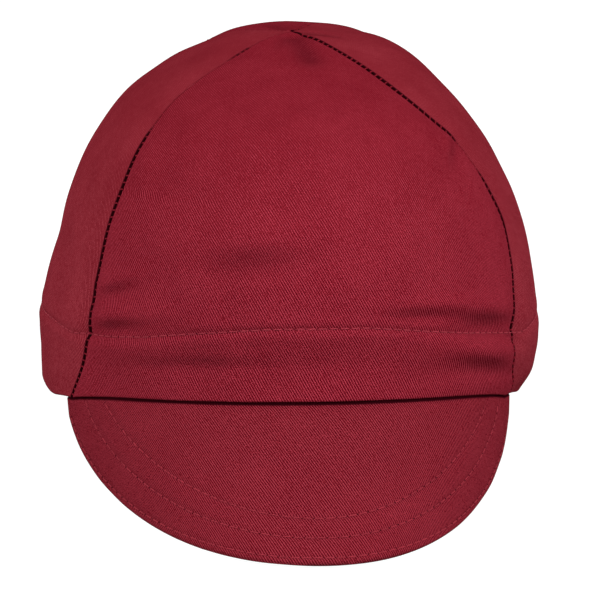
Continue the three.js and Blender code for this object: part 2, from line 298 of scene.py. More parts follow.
# Colours as red, green and blue
CLOTH_RED = (0.205, 0.0104, 0.0200)
# DARK_RED and PALE_RED colour the troughs and crests of the twill's wales: partly the weave's own pattern,
# partly painted shade in the troughs and a painted highlight on the crests
DARK_RED = (0.098, 0.0015, 0.0062)
PALE_RED = (0.410, 0.0410, 0.0670)
# the near-black red that painted shade darkens the cloth towards
PAINTED_SHADE_RED = (0.022, 0.0012, 0.0030)
THREAD_RED = (0.205, 0.0090, 0.0190)
HEM_THREAD_RED = (0.345, 0.038, 0.057)
PEAK_THREAD_RED = (0.32, 0.031, 0.047)
# the near-black reds inside the needle holes are painted shadow
HOLE_SHADOW_REDS = ((0.02, 0.001, 0.002), (0.05, 0.004, 0.007))
# Each cloth's red, green and blue as shares of those of CLOTH_RED, DARK_RED and PALE_RED
CROWN_TINT = (1.0, 1.0, 1.0)
# the side panels' paler, milkier red is painted sheen: the same cloth, lit at a grazing angle
SIDE_SHEEN_TINT = (1.07, 1.5, 1.26)
PEAK_TINT = (0.82, 0.9, 0.84)


def ramp(x, low, high):
    return np.clip((x - low) / (high - low), 0, 1)


def smoothstep(x, low, high):
    f = ramp(x, low, high)
    return f * f * (3 - 2 * f)


def bell(x):
    return np.exp(-x * x)


def unit(v):
    return v / np.maximum(np.linalg.norm(v, axis=-1, keepdims=True), 1e-9)


def signed_power(value, power):
    return np.sign(value) * np.abs(value) ** power


def wrapped(angle):
    """The same angle between -180 and 180."""
    return (np.asarray(angle, float) + 180) % 360 - 180


def section_at(t):
    """A smooth curve through the rows, mirrored past the apex so that the top is round."""
    before = 2 * SECTIONS[0] - SECTIONS[1]
    mirror = np.array([1, -1, -1, -1, -1, 1, 1])
    rows = np.vstack([before, SECTIONS, SECTIONS[-2] * mirror])
    t = np.clip(np.asarray(t, float), 0, APEX)
    start = np.minimum(np.floor(t).astype(int), APEX - 1)
    f = (t - start)[..., None]
    a, b, c, d = (rows[start + step] for step in range(4))
    bend = (2 * a - 5 * b + 4 * c - d) * f ** 2 + (3 * b - a - 3 * c + d) * f ** 3
    return 0.5 * (2 * b + (c - a) * f + bend)


def swelling(angle, t, up, side, seam):
    """How far the cloth lies outside its plain section: puffed panels, drawn-in seams and dents."""
    turned = np.abs(angle)
    on_front = (turned + seam) / (2 * seam)
    on_side = (turned - seam) / (BACK_SEAM - seam)
    on_back = 0.5 + (turned - 180) / (2 * (180 - BACK_SEAM))
    share = np.where(turned < seam, on_front, np.where(turned < BACK_SEAM, on_side, on_back))
    puff = PUFF * np.sin(np.pi * share) ** 2 * ramp(t, *PUFF_ROWS)
    from_seam = np.radians(np.minimum(np.abs(turned - seam), np.abs(turned - BACK_SEAM))) * side
    crease = SEAM_CREASE * bell(from_seam / SEAM_CREASE_WIDTH) * ramp(t, *SEAM_CREASE_ROWS)
    dented = sum(d.depth * bell((angle - d.angle) / d.wide) * bell((up - d.up) / d.tall) for d in DENTS)
    return (puff - crease - dented) * ramp(side, 0, SMOOTH_TOP_REACH)


def lift(angle, t, up):
    """How far the rim's arch and the ends of the peak lift the cloth."""
    arch = FRONT_ARCH * np.clip(1 - (angle / FRONT_ARCH_REACH) ** 2, 0, None)
    ends = sum(e.lift * bell((angle - e.angle) / e.spread) for e in PEAK_END_LIFTS)
    fade = 1 - ramp(up, SECTIONS[HEM][UP], FRONT_ARCH_TOP)
    return arch * fade + ends * (1 - ramp(t, 0, HEM))


def crown(angle, t):
    """Points of the crown's outer face. angle runs from the front towards the wearer's left, and t counts
    the rows of SECTIONS."""
    angle, t = np.broadcast_arrays(wrapped(angle), np.asarray(t, float))
    section = section_at(t)
    is_left = angle > 0
    side = np.where(is_left, section[..., LEFT], section[..., RIGHT])
    seam = np.where(is_left, section[..., SEAM_LEFT], section[..., SEAM_RIGHT])
    across = signed_power(np.sin(np.radians(angle)), 2 / SQUARENESS)
    along = -signed_power(np.cos(np.radians(angle)), 2 / SQUARENESS)
    reach = np.where(along < 0, section[..., FRONT], section[..., BACK])
    up = section[..., UP]
    out = swelling(angle, t, up, side, seam)
    x, y = (side + out) * across, (reach + out) * along
    nod = NOD * y * smoothstep(t, *NOD_ROWS)
    return np.stack([x, y, up + lift(angle, t, up) + nod], -1)


def crown_normal(angle, t):
    """The direction out of the cloth, level near the rim so that the rim is cut square."""
    turn, step = NORMAL_STEPS
    around = crown(angle + turn, t) - crown(angle - turn, t)
    rise = crown(angle, np.minimum(t + step, APEX)) - crown(angle, np.maximum(t - step, 0))
    normal = np.cross(around, rise)
    normal[..., 2] *= smoothstep(t, SQUARE_RIM_ROW, HEM)
    return unit(normal)


def at_rest(points):
    """Leans the cap back, presses the rear of its rim flat and puts the origin under its middle."""
    x, y, z = np.moveaxis(points, -1, 0)
    lean = math.radians(LEAN)
    rim_height = (SECTIONS[0][BACK] - y) * math.sin(lean)
    kept = rim_height * smoothstep(rim_height, PRESSED_BELOW, PRESS_FADES)
    fade = (1 - ramp(z, 0, PRESS_REACH)) ** 2
    pressed = np.where(y > 0, (rim_height - kept) * fade, 0)
    height = z * math.cos(lean) + rim_height - pressed
    return np.stack([x + MIDDLE[0], y * math.cos(lean) + z * math.sin(lean) + MIDDLE[1], height], -1)


def fold_relief(angle, up, side):
    """How far the smaller folds press the cloth in."""
    depth = 0
    for fold in FOLDS:
        across = np.radians(wrapped(angle - fold.angle)) * side
        above = up - fold.up
        turn = math.radians(fold.tilt)
        along = across * math.cos(turn) + above * math.sin(turn)
        over = above * math.cos(turn) - across * math.sin(turn)
        ridge = RIDGE_BESIDE_FOLD * bell(over / fold.width - RIDGE_AWAY)
        pressed = bell(over / fold.width) - ridge
        depth = depth + fold.depth * bell(along / fold.length) * pressed
    return depth


def crease_relief(angle, points):
    """How far the creases at the apex press the cloth in."""
    reach = np.hypot(points[..., 0], points[..., 1])
    depth = 0
    for crease in APEX_CREASES:
        turned = np.radians(wrapped(angle - crease.angle))
        is_ahead = np.cos(turned) > 0
        sets_in = smoothstep(reach, CREASE_SETS_IN * crease.near, crease.near)
        fades = 1 - smoothstep(reach, crease.far - CREASE_FADES[0], crease.far + CREASE_FADES[1])
        across = bell(reach * np.sin(turned) / crease.width)
        depth = depth + crease.depth * sets_in * fades * is_ahead * across
    return depth


def cloth_waves(points, seed):
    """Slight waves in any direction, the same at each run."""
    random = np.random.default_rng(seed)
    total = np.zeros(points.shape[:-1])
    for _ in range(WAVES):
        way = unit(random.normal(size=3))
        length = random.uniform(*WAVE_LENGTHS)
        total += np.sin(2 * math.pi * (points @ way) / length + random.uniform(0, 2 * math.pi))
    return total * WAVE_DEPTH / math.sqrt(WAVES / 2)


def rolled(distance, radius):
    """How deep the face of a cloth lies near its rolled-in edge."""
    inside = np.clip(radius - distance, 0, None)
    return radius - np.sqrt(np.maximum(radius ** 2 - inside ** 2, 0))


def run_lengths(points, axis):
    """The length run along a grid's rows or columns up to each point."""
    steps = np.linalg.norm(np.diff(points, axis=axis), axis=-1)
    start = np.zeros_like(np.take(steps, [0], axis=axis))
    return np.concatenate([start, np.cumsum(steps, axis=axis)], axis=axis)


# Distances of the grid's lines from an edge of the cloth
EDGE_STATIONS = np.array([0, 0.12, 0.3, 0.55, 0.9, 1.4, 2.1, 3.0])


def graded(length, step):
    """Shares from 0 to 1 of a length, closer together at both ends."""
    count = max(int((length - 2 * EDGE_STATIONS[-1]) / step), 1)
    middle = np.linspace(EDGE_STATIONS[-1], length - EDGE_STATIONS[-1], count + 1)[1:-1]
    return np.concatenate([EDGE_STATIONS, middle, length - EDGE_STATIONS[::-1]]) / length


def make_mesh(name, points, faces, material, uv=None, shade=None):
    """A smooth-shaded object from points in millimetres, at rest, and lists of faces. shade, from 0 to 1,
    is painted shade: how much each point is darkened in seams, creases and folds, at the hem and under the
    crown's edge."""
    mesh = bpy.data.meshes.new(name)
    mesh.from_pydata((points * MM).tolist(), [], faces)
    mesh.materials.append(material)
    mesh.shade_smooth()
    if uv is not None:
        corners = np.empty(len(mesh.loops), int)
        mesh.loops.foreach_get("vertex_index", corners)
        layer = mesh.uv_layers.new(name="cloth")
        layer.data.foreach_set("uv", uv[corners].astype(np.float32).ravel())
        # the painted shade of each point, kept for the cloth's material
        deep = mesh.attributes.new("shade", "FLOAT", "POINT")
        deep.data.foreach_set("value", shade.astype(np.float32))
    piece = bpy.data.objects.new(name, mesh)
    bpy.context.scene.collection.objects.link(piece)
    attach(piece, "root")
    return piece


def closed_sheet(name, outer, inner, uv, material, shade=None):
    """A closed cloth between two grids of points, the outer one seen from outside with its columns running
    to the right."""
    # shade is each point's painted shade; without it the cloth gets none
    if shade is None:
        shade = np.zeros(outer.shape[:2])
    rows, columns = outer.shape[:2]
    index = np.arange(2 * rows * columns).reshape(2, rows, columns)
    front, back = index

    def quads(a, b, c, d):
        return np.stack([a, b, c, d], -1).reshape(-1, 4)

    faces = [
        quads(front[:-1, :-1], front[:-1, 1:], front[1:, 1:], front[1:, :-1]),
        quads(back[:-1, :-1], back[1:, :-1], back[1:, 1:], back[:-1, 1:]),
        quads(front[0, 1:], front[0, :-1], back[0, :-1], back[0, 1:]),
        quads(front[-1, :-1], front[-1, 1:], back[-1, 1:], back[-1, :-1]),
        quads(front[:-1, 0], front[1:, 0], back[1:, 0], back[:-1, 0]),
        quads(front[1:, -1], front[:-1, -1], back[:-1, -1], back[1:, -1]),
    ]
    points = at_rest(np.concatenate([outer.reshape(-1, 3), inner.reshape(-1, 3)]))
    both = np.concatenate([uv.reshape(-1, 2), uv.reshape(-1, 2)])
    both_shades = np.concatenate([shade.ravel(), shade.ravel()])
    return make_mesh(name, points, np.concatenate(faces).tolist(), material, both, both_shades)


def seam_angle(t, which):
    """The angle at which a seam crosses the rows."""
    section = section_at(t)
    angles = {
        "left": section[..., SEAM_LEFT],
        "right": -section[..., SEAM_RIGHT],
        "back_left": BACK_SEAM + BACK_SEAM_TURN * smoothstep(t, *BACK_SEAM_TURN_ROWS),
        "back_right": np.full_like(section[..., UP], -BACK_SEAM),
    }
    return angles[which]


def seam_half_gap(t, which):
    """Half the gap between the two cloths of a seam."""
    return np.interp(section_at(t)[..., UP], [g.up for g in GAPES], [getattr(g, which) for g in GAPES])


def hem_up(angle):
    """Height over the rim of the hem's stitching."""
    return np.interp(angle, [h.angle for h in HEM_LINE], [h.up for h in HEM_LINE])


def hem_relief(angle, up):
    """The stitching draws the cloth in, and the cloth stands up a little above and below it."""
    above = up - hem_up(angle)
    swell_above = HEM_SWELLS[0] * bell((above - HEM_SWELL_AWAY) / HEM_SWELL_WIDTH)
    swell_below = HEM_SWELLS[1] * bell((above + HEM_SWELL_AWAY) / HEM_SWELL_WIDTH)
    return HEM_DRAW * bell(above / HEM_DRAW_WIDTH) - swell_above - swell_below


# Grids of the panels
PANEL_TOP = APEX - 0.012  # the row at which they end, just short of the apex
PANEL_STEP = 1.3
PANEL_WIDTH = 110.0  # how wide a panel the grid's columns are spaced for
HEM_ROWS = np.arange(-3, 3.01, 0.4)  # distances from the hem's stitching
LEAST_REACH = 0.5
LEAST_CLOSING = 0.02  # how little a row of a flat pattern may curve
FLAT_RISE_FADES = APEX - 3  # the row up to which a flat pattern follows the lower edge's shape


def panel_rows():
    """Values of t, close together at the lower edge and at the hem's stitching."""
    fine = np.linspace(0, PANEL_TOP, FINE_ROWS)
    run = run_lengths(crown(np.zeros(FINE_ROWS), fine), 0)
    hem_run = np.interp(HEM, fine, run)
    runs = graded(run[-1], PANEL_STEP) * run[-1]
    runs = runs[np.abs(runs - hem_run) > HEM_ROWS[-1]]
    runs = np.sort(np.concatenate([runs, hem_run + HEM_ROWS]))
    return np.interp(runs, run, fine)


def crown_relief(angle, t, points):
    """How deep the real cloth lies under the plain crown: folds, waves and the hem's stitching."""
    section = section_at(t)
    side = np.where(angle > 0, section[..., LEFT], section[..., RIGHT])
    fine = fold_relief(angle, section[..., UP], side) + cloth_waves(points, seed=4)
    fine = fine * ramp(side, 0, SMOOTH_TOP_REACH)
    return fine + crease_relief(angle, points) + hem_relief(angle, section[..., UP])


def flat_map(angle, t, plain, grain):
    """Places of a panel's points on its flat pattern, in millimetres: each row is laid out as on a cone,
    from the grain line at the given angle."""
    t_row = t[:, 0]
    middle = crown(np.full_like(t_row, grain), t_row)
    up_middle = run_lengths(middle, 0) + middle[0, 2]
    away = np.linalg.norm(middle[:, :2], axis=1)
    closing = np.clip(-np.gradient(away, up_middle), LEAST_CLOSING, 1)
    radius = np.maximum(away, LEAST_REACH) / closing
    across = run_lengths(plain, 1)
    turned = wrapped(angle - grain)
    start = np.array([np.interp(0, turned[i], across[i]) for i in range(len(t_row))])
    theta = (across - start[:, None]) / radius[:, None]
    rise = plain[0, :, 2] - middle[0, 2]
    fade = 1 - ramp(t, 0, FLAT_RISE_FADES)
    v = up_middle[:, None] + radius[:, None] * (1 - np.cos(theta)) + rise * fade
    return np.stack([radius[:, None] * np.sin(theta), v], -1)


Panel = namedtuple("Panel", "name from_seam to_seam grain")


def level_reach(t):
    """About how far the crown reaches out from its middle."""
    section = section_at(t)
    return np.maximum(np.minimum(section[..., LEFT], section[..., FRONT]), LEAST_REACH)


def panel_angles(panel, t, shares, from_gap, to_gap):
    """Angles of a panel's grid, which stays clear of its two seams by the gaps."""
    starts, ends = seam_angle(t, panel.from_seam), seam_angle(t, panel.to_seam)
    ends = np.where(ends < starts, ends + 360, ends)
    reach = level_reach(t)

    def turned(gap):
        return np.minimum(np.degrees(gap / reach), MOST_GAP * (ends - starts))

    first, last = starts + turned(from_gap), ends - turned(to_gap)
    return wrapped(first + (last - first) * shares)


def panel_edges(panel, t, plain):
    """For each of a panel's two seams, the distances from its edge and half the seam's gap."""
    across = run_lengths(plain, 1)
    rest_of_width = across[:, -1:] - across
    return [
        (across, seam_half_gap(t, panel.from_seam)),
        (rest_of_width, seam_half_gap(t, panel.to_seam)),
    ]


def rolled_edges(plain, edges):
    """How deep a panel's outer face lies along its rolled-in lower edge and seams."""
    width = run_lengths(plain, 1)[:, -1:]
    depth = rolled(run_lengths(plain, 0), HEM_ROLL)
    for distance, half_gap in edges:
        radius = np.minimum(ROLL_SHUT + ROLL_PER_GAP * half_gap, MOST_ROLL * width)
        depth = depth + rolled(distance, radius)
    return depth


def panel_shade(angle, t, plain, edges):
    """How much painted shade darkens each point of a panel: in its creases and folds, at the hem, over the
    peak and at seams.
    """
    up = section_at(t)[..., UP]
    in_creases = CREASE_SHADE * crease_relief(angle, plain)
    over_folds = FOLD_SHADE * fold_relief(angle, up - FOLD_SHADE_RISE, level_reach(t))
    in_hem = HEM_SHADE * bell((up - hem_up(angle)) / ROW_SHADE_WIDTH)
    over_peak = 1 - smoothstep(np.abs(angle) - peak_end(angle), *RIM_SHADE_ENDS)
    at_rim = over_peak * (1 - smoothstep(run_lengths(plain, 0), 0.0, RIM_SHADE_REACH))
    shades = [in_creases, over_folds, in_hem, at_rim]
    # painted shade along the edges of a gaping seam
    for distance, half_gap in edges:
        open_share = smoothstep(half_gap, 0.0, SHADED_GAP)
        shades.append(open_share * (1 - smoothstep(distance, *SHADE_REACH)))
    return np.clip(np.max(shades, axis=0), 0, 1)


def make_panel(panel, material):
    """One panel of the crown, cut along its two seams."""
    shares = graded(PANEL_WIDTH, PANEL_STEP)
    t = np.repeat(panel_rows()[:, None], len(shares), 1)
    gaps = seam_half_gap(t, panel.from_seam), seam_half_gap(t, panel.to_seam)
    angle = panel_angles(panel, t, shares, *gaps)
    inner_angle = panel_angles(panel, t, shares, -INNER_LAP, -INNER_LAP)
    plain = crown(angle, t)
    edges = panel_edges(panel, t, plain)
    relief = crown_relief(angle, t, plain)
    depth = relief + rolled_edges(plain, edges)
    inner_depth = np.maximum(relief + CLOTH, depth + THINNEST_EDGE)
    outer = plain - crown_normal(angle, t) * depth[..., None]
    inner = crown(inner_angle, t) - crown_normal(inner_angle, t) * inner_depth[..., None]
    uv = flat_map(angle, t, plain, panel.grain)
    return closed_sheet(panel.name, outer, inner, uv, material, panel_shade(angle, t, plain, edges))


def peak_end(side):
    """The angle of the peak's end, at the wearer's left for values of side above 0."""
    return np.where(side > 0, PEAK_END_LEFT, PEAK_END_RIGHT)


def make_sweatband(material):
    rows, columns = BAND_GRID
    angles = np.linspace(BAND_JOIN - 180, 180 - BAND_JOIN, columns)
    angle, t = np.meshgrid(angles, np.linspace(0, HEM * BAND_HIGH / SECTIONS[HEM][UP], rows))
    behind_panel = CLOTH + LOOSE_GAP
    behind_peak = behind_panel + PEAK_THICKNESS + LOOSE_GAP + BAND_OVER_PEAK
    end = peak_end(angle)
    past = smoothstep(np.abs(angle), end + BAND_DEPTH_FADES[0], end + BAND_DEPTH_FADES[1])
    depth = behind_peak + (behind_panel - behind_peak) * past
    plain, normal = crown(angle, t), crown_normal(angle, t)
    plain[0, :, 2] += BAND_LOW
    outer = plain - normal * depth[..., None]
    inner = plain - normal * (depth + BAND_CLOTH)[..., None]
    uv = np.stack([run_lengths(outer, 1), run_lengths(outer, 0)], -1)
    return closed_sheet("sweatband_cloth", outer, inner, uv, material)


def peak_length(s):
    """From the root to the edge. s runs from -1 at the peak's end on the wearer's right to 1 on the left."""
    outline = np.clip(1 - np.abs(s) ** PEAK_POWER, 0, 1) ** PEAK_ROOT
    return PEAK_LENGTH * outline * (1 + PEAK_SKEW * s)


def peak_face(s, v):
    """Points of the peak's plain upper face: v is 0 at the root and 1 at the edge."""
    s, v = np.broadcast_arrays(np.asarray(s, float), np.asarray(v, float))
    rim = crown(s * peak_end(s), 0 * s) - np.array([0, 0, ROOT_GAP])
    pitch = np.radians(PEAK_PITCH + PEAK_SIDE_PITCH * s * s)
    fan = np.radians(PEAK_FAN * s)
    fall = np.stack([np.sin(fan) * np.cos(pitch), -np.cos(fan) * np.cos(pitch), -np.sin(pitch)], -1)
    return rim + (v * peak_length(s))[..., None] * fall


def peak_down(s, v):
    """The direction into the peak's cloth."""
    side, out = PEAK_STEPS
    sideways = peak_face(s + side, v) - peak_face(s - side, v)
    outwards = peak_face(s, v + out) - peak_face(s, v - out)
    return unit(np.cross(sideways, outwards))


def peak_columns(count):
    """Values of s over the kept width of the peak, closer together at its ends."""
    return PEAK_WIDTH_KEPT * np.sin(np.linspace(-math.pi / 2, math.pi / 2, count))


def peak_outline():
    """The peak's edge with its two short ends."""
    s = peak_columns(OUTLINE_POINTS)
    end_v = np.linspace(PEAK_END_START, 1, OUTLINE_END_POINTS)
    right_end = peak_face(np.full_like(end_v, s[0]), end_v)
    left_end = peak_face(np.full_like(end_v, s[-1]), end_v[::-1])
    return np.concatenate([right_end, peak_face(s, 1.0), left_end])


PEAK_EDGE = peak_outline()


def from_peak_edge(points):
    """The shortest way from points of the peak's face to its edge."""
    flat = points.reshape(-1, 3)
    nearest = np.full(len(flat), np.inf)
    for start, end in zip(PEAK_EDGE[:-1], PEAK_EDGE[1:]):
        way = end - start
        if not way.any():
            continue
        f = np.clip((flat - start) @ way / (way @ way), 0, 1)
        nearest = np.minimum(nearest, np.linalg.norm(flat - start - f[:, None] * way, axis=1))
    return nearest.reshape(points.shape[:-1])


def row_inset(row, s):
    """How far from the peak's edge a row of stitches lies."""
    return row.inset + row.ends * s ** 4


def peak_relief(edge_distance, s, points):
    """The rows of stitches draw the peak's covers together, so that the cloth stands up between them."""
    rows = sum(bell((edge_distance - row_inset(row, s)) / ROW_DRAW_WIDTH) for row in PEAK_ROWS)
    return ROW_DRAW * rows + PEAK_WAVES * cloth_waves(points, seed=9)


def root_dip(s, v):
    """How deep the peak dips close to its root."""
    return ROOT_DIP * (1 - s ** 4) * bell(v * peak_length(s) / ROOT_DIP_REACH)


def peak_grid():
    """s and v of a grid over the peak, with its rows close together near the edge."""
    rows, columns = PEAK_GRID
    s = peak_columns(columns)
    length = peak_length(s)
    inner = np.linspace(0, 1, rows)[:, None] * (1 - EDGE_STATIONS[-1] / length)
    outer = 1 - EDGE_STATIONS[::-1, None] / length
    v = np.concatenate([inner[:-1], outer])
    return np.repeat(s[None], len(v), 0), v


def tucked_rows(s, depth):
    """The rows of points inside the crown, where the peak's root is sewn in."""
    angle = s * peak_end(s)
    reach = CLOTH + LOOSE_GAP + depth
    rows = []
    for up in PEAK_TUCK:
        t = np.full_like(angle, up / SECTIONS[1][UP])
        rows.append(crown(angle, t) - crown_normal(angle, t) * reach[:, None])
    return np.array(rows)


def peak_shade(s, v, distance):
    """How much painted shade darkens each point of the peak: at its root, in the grooves of its rows, and
    fully on the rows tucked inside the crown.
    """
    at_root = 1 - smoothstep(v * peak_length(s), 0.0, RIM_SHADE_REACH)
    in_rows = sum(bell((distance - row_inset(row, s)) / ROW_SHADE_WIDTH) for row in PEAK_ROWS)
    on_tuck = np.ones((len(PEAK_TUCK), s.shape[1]))
    return np.concatenate([on_tuck, np.maximum(at_root, ROW_SHADE * in_rows)])


def peak_map(face):
    """Places of a peak cloth's points on its flat piece, from its middle column and its last row."""
    run, across = run_lengths(face, 0), run_lengths(face, 1)
    middle = face.shape[1] // 2
    return np.stack([across - across[:, middle:middle + 1], run - run[-1:]], -1)


def make_peak_cover(name, is_top, material):
    s, v = peak_grid()
    plain, down = peak_face(s, v), peak_down(s, v)
    distance = from_peak_edge(plain)
    quilted = peak_relief(distance, s, plain) + rolled(distance, (PEAK_THICKNESS - PEAK_EDGE_GAP) / 2)
    if is_top:
        depths = quilted, np.full_like(quilted, PEAK_CLOTH)
    else:
        depths = np.full_like(quilted, PEAK_THICKNESS - PEAK_CLOTH), PEAK_THICKNESS - quilted
    faces = []
    for depth in depths:
        face = plain + down * (depth + root_dip(s, v))[..., None]
        faces.append(np.concatenate([tucked_rows(s[0], depth[0]), face])[::-1])
    upper, lower = faces
    return closed_sheet(name, upper, lower, peak_map(upper), material, peak_shade(s, v, distance)[::-1])


def thread_tubes(name, paths, normals, material, radius=THREAD, sides=6):
    """Short tubes of thread, one for each path of points."""
    count, length = paths.shape[:2]
    tangent = unit(np.gradient(paths, axis=1))
    side = unit(np.cross(tangent, normals))
    out = np.cross(side, tangent)
    turn = np.linspace(0, 2 * math.pi, sides, endpoint=False)
    ring = side[:, :, None] * np.cos(turn)[:, None] + out[:, :, None] * np.sin(turn)[:, None]
    taper = np.ones(length)
    taper[[0, -1]] = THREAD_TAPER
    points = paths[:, :, None] + ring * radius * taper[:, None, None]
    index = np.arange(count * length * sides).reshape(count, length, sides)
    ahead = np.roll(index, -1, axis=2)
    walls = np.stack([index[:, :-1], index[:, 1:], ahead[:, 1:], ahead[:, :-1]], -1).reshape(-1, 4)
    faces = walls.tolist() + index[:, 0].tolist() + index[:, -1, ::-1].tolist()
    return make_mesh(name, at_rest(points.reshape(-1, 3)), faces, material)


def along_line(points, normals, distances):
    """Points and normals of a line at the given distances along it."""
    run = run_lengths(points, 0)
    pick = [np.interp(distances, run, points[:, i]) for i in range(3)]
    pick_normal = [np.interp(distances, run, normals[:, i]) for i in range(3)]
    return np.stack(pick, -1), unit(np.stack(pick_normal, -1))


Stitches = namedtuple("Stitches", "paths out holes holes_out")


def topstitches(points, normals):
    """Stitches along a line on the cloth: each rises out of one needle hole and dives into the next."""
    count = int(run_lengths(points, 0)[-1] / STITCH_PITCH)
    at_holes = np.arange(count + 1) * STITCH_PITCH
    share = np.linspace(0, 1, STITCH_POINTS)
    distances = at_holes[:-1, None] + STITCH_GAP / 2 + share * (STITCH_PITCH - STITCH_GAP)
    on_line, out = along_line(points, normals, distances)
    height = STITCH_RISE * np.sin(math.pi * share) ** 0.5 - STITCH_SUNK
    return Stitches(on_line + out * height[:, None], out, *along_line(points, normals, at_holes))


def needle_holes(name, holes, normals, material, radius, sides=8):
    """Small dimples where the thread goes into the cloth, coloured near black as painted shadow."""
    aside = unit(np.cross(normals, HOLE_ASLANT))
    other = np.cross(normals, aside)
    turn = np.linspace(0, 2 * math.pi, sides, endpoint=False)
    ring = aside[:, None] * np.cos(turn)[:, None] + other[:, None] * np.sin(turn)[:, None]
    rim = holes[:, None] + ring * radius
    top, bottom = (holes + normals * height for height in HOLE_HEIGHTS)
    points = np.concatenate([rim, top[:, None], bottom[:, None]], 1)
    faces = []
    for k in range(len(holes)):
        base = k * (sides + 2)
        for i in range(sides):
            j = (i + 1) % sides
            faces.append([base + i, base + j, base + sides])
            faces.append([base + j, base + i, base + sides + 1])
    return make_mesh(name, at_rest(points.reshape(-1, 3)), faces, material)


def row_at_height(up):
    """The row of SECTIONS, or the place between two, at a height over the rim."""
    fine = np.linspace(0, APEX, SEAM_POINTS)
    return np.interp(up, section_at(fine)[:, UP], fine)


def sew(name, stitches, thread, hole, hole_radius):
    """The threads of rows of stitches, and the needle holes at their ends."""
    threads = thread_tubes(f"{name}_threads", stitches.paths, stitches.out, thread)
    holes = needle_holes(f"{name}_needle_holes", stitches.holes, stitches.holes_out, hole, hole_radius)


def make_hem_threads(thread, hole):
    angle = np.linspace(-179.5, 179.5, HEM_POINTS)
    t = row_at_height(hem_up(angle))
    plain, normal = crown(angle, t), crown_normal(angle, t)
    on_cloth = plain - normal * crown_relief(angle, t, plain)[:, None]
    sew("hem", topstitches(on_cloth, normal), thread, hole, HEM_HOLE)


def seam_bars(which):
    """Paths and normals of one seam's own stitches, which run across it."""
    t = np.linspace(*BAR_ROWS, SEAM_POINTS)
    angle = seam_angle(t, which)
    plain, normal = crown(angle, t), crown_normal(angle, t)
    run = run_lengths(plain, 0)
    at = np.arange(SEAM_PITCH / 2, run[-1], SEAM_PITCH)
    centre, out = along_line(plain, normal, at)
    along = unit(np.stack([np.interp(at, run, np.gradient(plain[:, i])) for i in range(3)], -1))
    across = unit(np.cross(along, out))
    reach = np.interp(at, run, seam_half_gap(t, which)) + BAR_LAP
    share = np.linspace(-1, 1, BAR_POINTS)
    depth = BAR_DEPTH + BAR_DIVE * share ** 4
    paths = centre[:, None] + (reach[:, None] * share)[..., None] * across[:, None]
    paths = paths - depth[:, None] * out[:, None] + (BAR_SLANT * share)[:, None] * along[:, None]
    return paths, np.repeat(out[:, None], BAR_POINTS, 1)


def make_seam_threads(thread):
    """The seams' own stitches, which show as bars across each seam where it gapes."""
    bars = [seam_bars(which) for which in ("left", "right", "back_left", "back_right")]
    paths, normals = (np.concatenate(part) for part in zip(*bars))
    threads = thread_tubes("seam_threads", paths, normals, thread, SEAM_THREAD)


def peak_row_stitches(row, s, v, distance):
    """The stitches of one row, from the distances of a grid's points to the peak's edge."""
    inset = row_inset(row, s)
    kept = np.flatnonzero(distance[0] > inset)
    at = np.array([np.interp(-inset[i], -distance[:, i], v[:, 0]) for i in kept])
    s, inset = s[kept], inset[kept]
    plain, down = peak_face(s, at), peak_down(s, at)
    depth = peak_relief(inset, s, plain) + root_dip(s, at)
    return topstitches(plain + down * depth[:, None], -down)


def make_peak_threads(thread, hole):
    rows, columns = PEAK_LINE_GRID
    s = peak_columns(columns)
    v = np.linspace(0, 1, rows)[:, None]
    distance = from_peak_edge(peak_face(s, v))
    stitched = [peak_row_stitches(row, s, v, distance) for row in PEAK_ROWS]
    stitches = Stitches(*(np.concatenate(part) for part in zip(*stitched)))
    sew("peak", stitches, thread, hole, PEAK_HOLE)


class Nodes:
    """Short calls for making and joining a material's nodes."""

    def __init__(self, name):
        self.material = bpy.data.materials.new(name)
        self.material.use_nodes = True
        self.tree = self.material.node_tree
        self.shader = self.tree.nodes["Principled BSDF"]

    def add(self, kind, inputs=None, **settings):
        node = self.tree.nodes.new(kind)
        for key, value in settings.items():
            setattr(node, key, value)
        for key, value in (inputs or {}).items():
            self.put(node, key, value)
        return node

    def put(self, node, key, value):
        if isinstance(value, bpy.types.NodeSocket):
            self.tree.links.new(value, node.inputs[key])
        else:
            node.inputs[key].default_value = value

    def math(self, operation, *values, clamp=False):
        node = self.add("ShaderNodeMath", dict(enumerate(values)), operation=operation, use_clamp=clamp)
        return node.outputs[0]

    def scaled(self, value, factor, plus=0.0):
        return self.math("MULTIPLY_ADD", value, factor, plus)

    def wave(self, phase):
        return self.math("SINE", self.scaled(phase, 2 * math.pi))

    def noise(self, place, scale, **more):
        return self.add("ShaderNodeTexNoise", {"Vector": place, "Scale": scale, **more}).outputs[0]

    def set_shader(self, **inputs):
        for key, value in inputs.items():
            self.put(self.shader, key.replace("_", " "), value)


# The twill's pattern, in millimetres and degrees on the cloth
TWILL_PITCH = 0.8
TWILL_SLOPE = 61.0
TWILL_DRIFT = 0.8  # how many wales the lines wander
YARN_PITCH = 0.62
YARN_SHIFT = 0.37  # from one wale to the next
WALE_SHARPNESS = 2.4  # above 1 makes each wale a thin light line on a darker ground
FLOAT_LENGTH = 1.9  # of the stretches over which a wale is lighter or darker
FLOAT_SHIFT = 7.3
# Each level is a factor and what is added to it
CREST_LEVEL = (2.0, -0.62)
SWELL_LEVEL = (3.2, -0.7)
WALE_SHARE = 0.42
YARN_SHARE = 0.14
FUZZ_SHARE = 1.2
MOTTLE_SHARE = 0.3
# Scales of the irregular patterns, in waves to the metre
DRIFT_SCALE = 45.0
MOTTLE_SCALE = 55.0
THREAD_SCALE = 400.0
HOLE_SCALE = 900.0
TWIST_SCALE = 1500.0
FUZZ_SCALE = 2400.0
